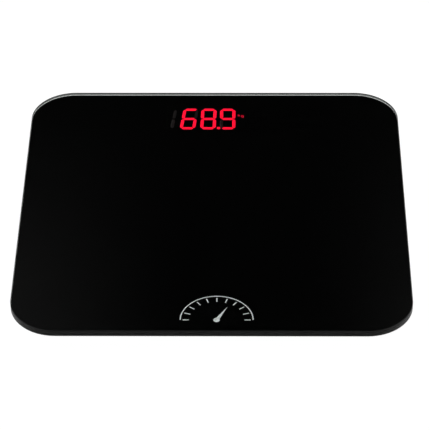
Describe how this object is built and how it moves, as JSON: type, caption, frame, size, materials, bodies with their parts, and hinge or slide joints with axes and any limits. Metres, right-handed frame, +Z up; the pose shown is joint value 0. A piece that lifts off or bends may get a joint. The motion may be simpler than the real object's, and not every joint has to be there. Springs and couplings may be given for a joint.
{
  "type": "digital bathroom scale",
  "caption": "Square black glass bathroom scale with a lit red seven-segment display behind the glass and load-cell feet beneath.",
  "frame": {"origin": "on the floor, under the middle of the platform", "axes": "+Z up, +Y towards the display edge, so the user stands facing +Y; +X to the user's right"},
  "size_m": [0.3, 0.3, 0.025],
  "materials": {
    "tempered_glass": "polished",
    "black_print": "smooth",
    "silver_print": "satin",
    "display_black": "satin",
    "display_white": "matte",
    "lit_red": "glowing",
    "dark_red": "satin",
    "led_die": "clear",
    "circuit_board": "solder mask",
    "chip_black": "matte",
    "ceramic": "matte",
    "header_white": "satin",
    "housing_black": "fine texture",
    "button_grey": "satin",
    "foam": "matte",
    "pad_rubber": "matte",
    "cell_steel": "nickel plated",
    "silicone": "matte",
    "wire": "satin",
    "battery_wrap": "printed film",
    "spring_steel": "nickel plated",
    "screw_steel": "zinc plated",
    "label_white": "paper"
  },
  "bodies": {
    "platform": {"glass_platform": "tempered_glass", "print_film": "black_print", "emblem": "silver_print", "display_mask": "display_black", "display_reflector": "display_white", "lit_segments": "lit_red", "dark_segments": "dark_red", "led_dies": "led_die", "main_board": "circuit_board", "controller_chip": "chip_black", "smd_parts": "ceramic", "cell_headers": "header_white", "switch_body": "chip_black", "housing_frame": "housing_black", "housing_cover": "housing_black", "housing_gasket": "foam", "housing_screws": "screw_steel", "board_screws": "screw_steel", "battery_cell_1": "battery_wrap", "battery_cell_2": "battery_wrap", "battery_cell_3": "battery_wrap", "battery_springs": "spring_steel", "battery_contacts": "spring_steel", "battery_leads": "wire", "rating_label": "label_white", "load_cell_front_left": "cell_steel", "gauge_seal_front_left": "silicone", "cell_holder_front_left": "housing_black", "holder_tape_front_left": "foam", "cell_lead_front_left": "wire", "cell_duct_front_left": "housing_black", "load_cell_front_right": "cell_steel", "gauge_seal_front_right": "silicone", "cell_holder_front_right": "housing_black", "holder_tape_front_right": "foam", "cell_lead_front_right": "wire", "cell_duct_front_right": "housing_black", "load_cell_rear_left": "cell_steel", "gauge_seal_rear_left": "silicone", "cell_holder_rear_left": "housing_black", "holder_tape_rear_left": "foam", "cell_lead_rear_left": "wire", "cell_duct_rear_left": "housing_black", "load_cell_rear_right": "cell_steel", "gauge_seal_rear_right": "silicone", "cell_holder_rear_right": "housing_black", "holder_tape_rear_right": "foam", "cell_lead_rear_right": "wire", "cell_duct_rear_right": "housing_black"},
    "foot_front_left": {"foot_cup_front_left": "housing_black", "foot_pad_front_left": "pad_rubber"},
    "foot_front_right": {"foot_cup_front_right": "housing_black", "foot_pad_front_right": "pad_rubber"},
    "foot_rear_left": {"foot_cup_rear_left": "housing_black", "foot_pad_rear_left": "pad_rubber"},
    "foot_rear_right": {"foot_cup_rear_right": "housing_black", "foot_pad_rear_right": "pad_rubber"},
    "battery_door": {"battery_door": "housing_black"},
    "unit_button": {"unit_button": "button_grey", "switch_stem": "button_grey"}
  },
  "joints": [
    {"name": "foot_press_front_left", "type": "slide", "parent": "platform", "child": "foot_front_left", "axis": [0, 0, 1], "range_m": [0, 0.0005], "stiffness_N_per_m": 1000000, "deforming": ["load_cell_front_left"]},
    {"name": "foot_press_front_right", "type": "slide", "parent": "platform", "child": "foot_front_right", "axis": [0, 0, 1], "range_m": [0, 0.0005], "stiffness_N_per_m": 1000000, "deforming": ["load_cell_front_right"]},
    {"name": "foot_press_rear_left", "type": "slide", "parent": "platform", "child": "foot_rear_left", "axis": [0, 0, 1], "range_m": [0, 0.0005], "stiffness_N_per_m": 1000000, "deforming": ["load_cell_rear_left"]},
    {"name": "foot_press_rear_right", "type": "slide", "parent": "platform", "child": "foot_rear_right", "axis": [0, 0, 1], "range_m": [0, 0.0005], "stiffness_N_per_m": 1000000, "deforming": ["load_cell_rear_right"]},
    {"name": "battery_door_slide", "type": "slide", "parent": "platform", "child": "battery_door", "axis": [0, -1, 0], "range_m": [0, 0.042]},
    {"name": "unit_button_press", "type": "slide", "parent": "platform", "child": "unit_button", "axis": [0, 0, 1], "range_m": [0, 0.0005], "stiffness_N_per_m": 4000}
  ]
}
